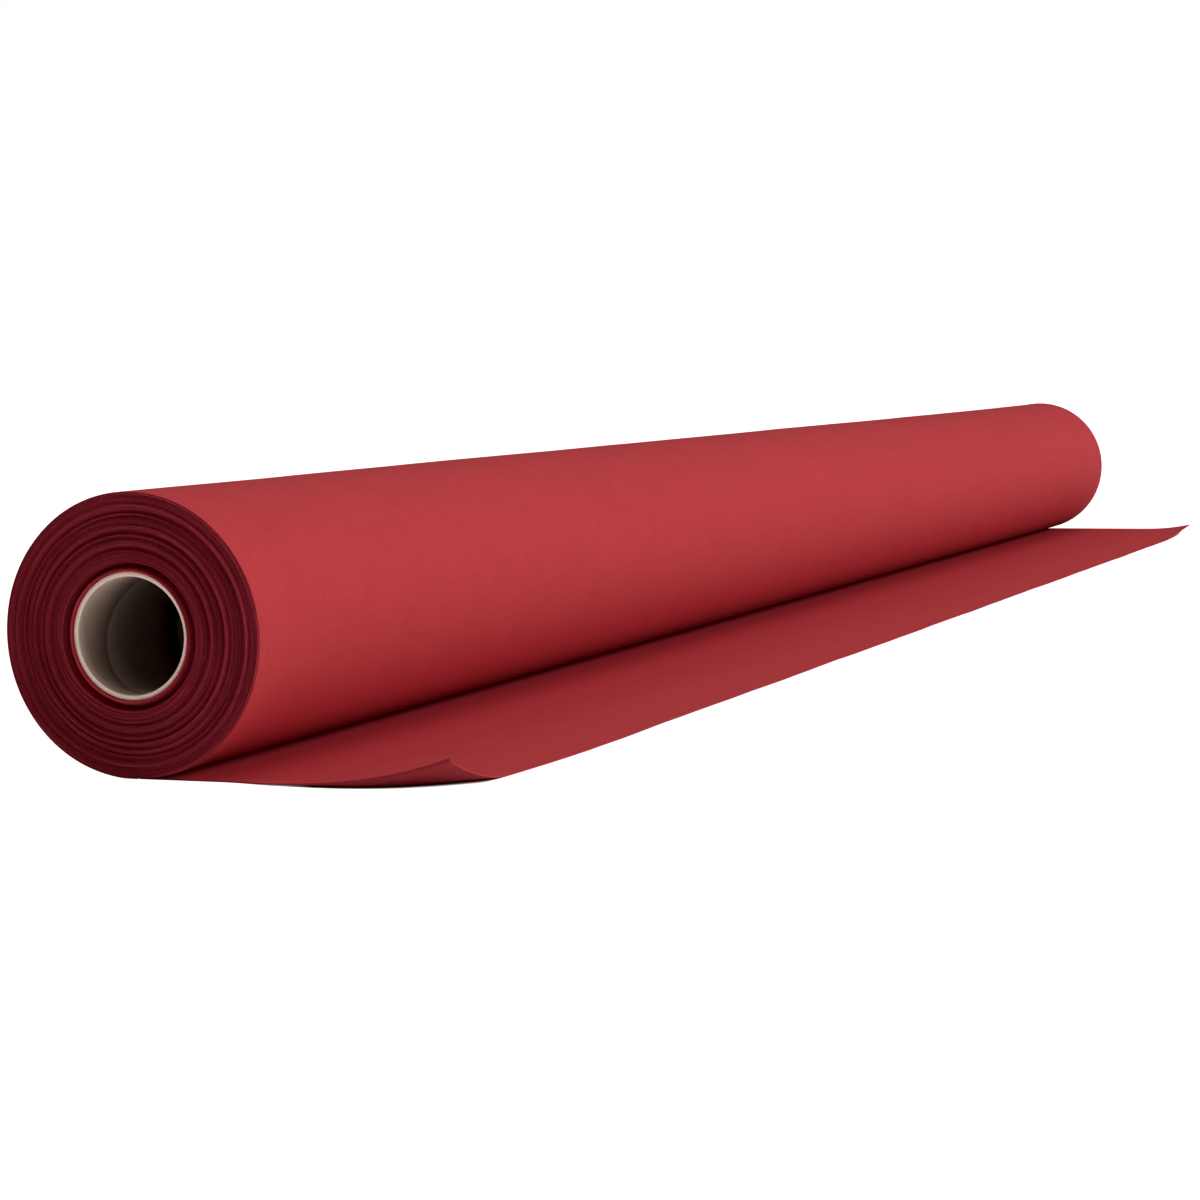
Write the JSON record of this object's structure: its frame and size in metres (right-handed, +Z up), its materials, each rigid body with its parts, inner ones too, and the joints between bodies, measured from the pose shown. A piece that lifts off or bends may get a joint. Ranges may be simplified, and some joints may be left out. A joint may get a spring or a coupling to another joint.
{
  "type": "roll of airlaid tablecloth",
  "caption": "Roll of soft non-woven tablecloth wound on a paper core, lying flat with its loose end drawn out and its corners curled up.",
  "frame": {"origin": "middle of the narrow flat that the roll rests on, below its axis and half way along it", "axes": "+X along the roll's axis, away from the end whose loose corner curls up most; -Y towards the loose end; +Z up"},
  "size_m": [1.2, 0.1442, 0.0819],
  "materials": {
    "airlaid_cloth": "matt soft non-woven, deep red, dry to the touch",
    "core_board": "matt unbleached spiral-wound paper board"
  },
  "bodies": {
    "root": {"core_tube": "core_board", "wound_roll": "airlaid_cloth", "loose_end": "airlaid_cloth"}
  },
  "joints": []
}
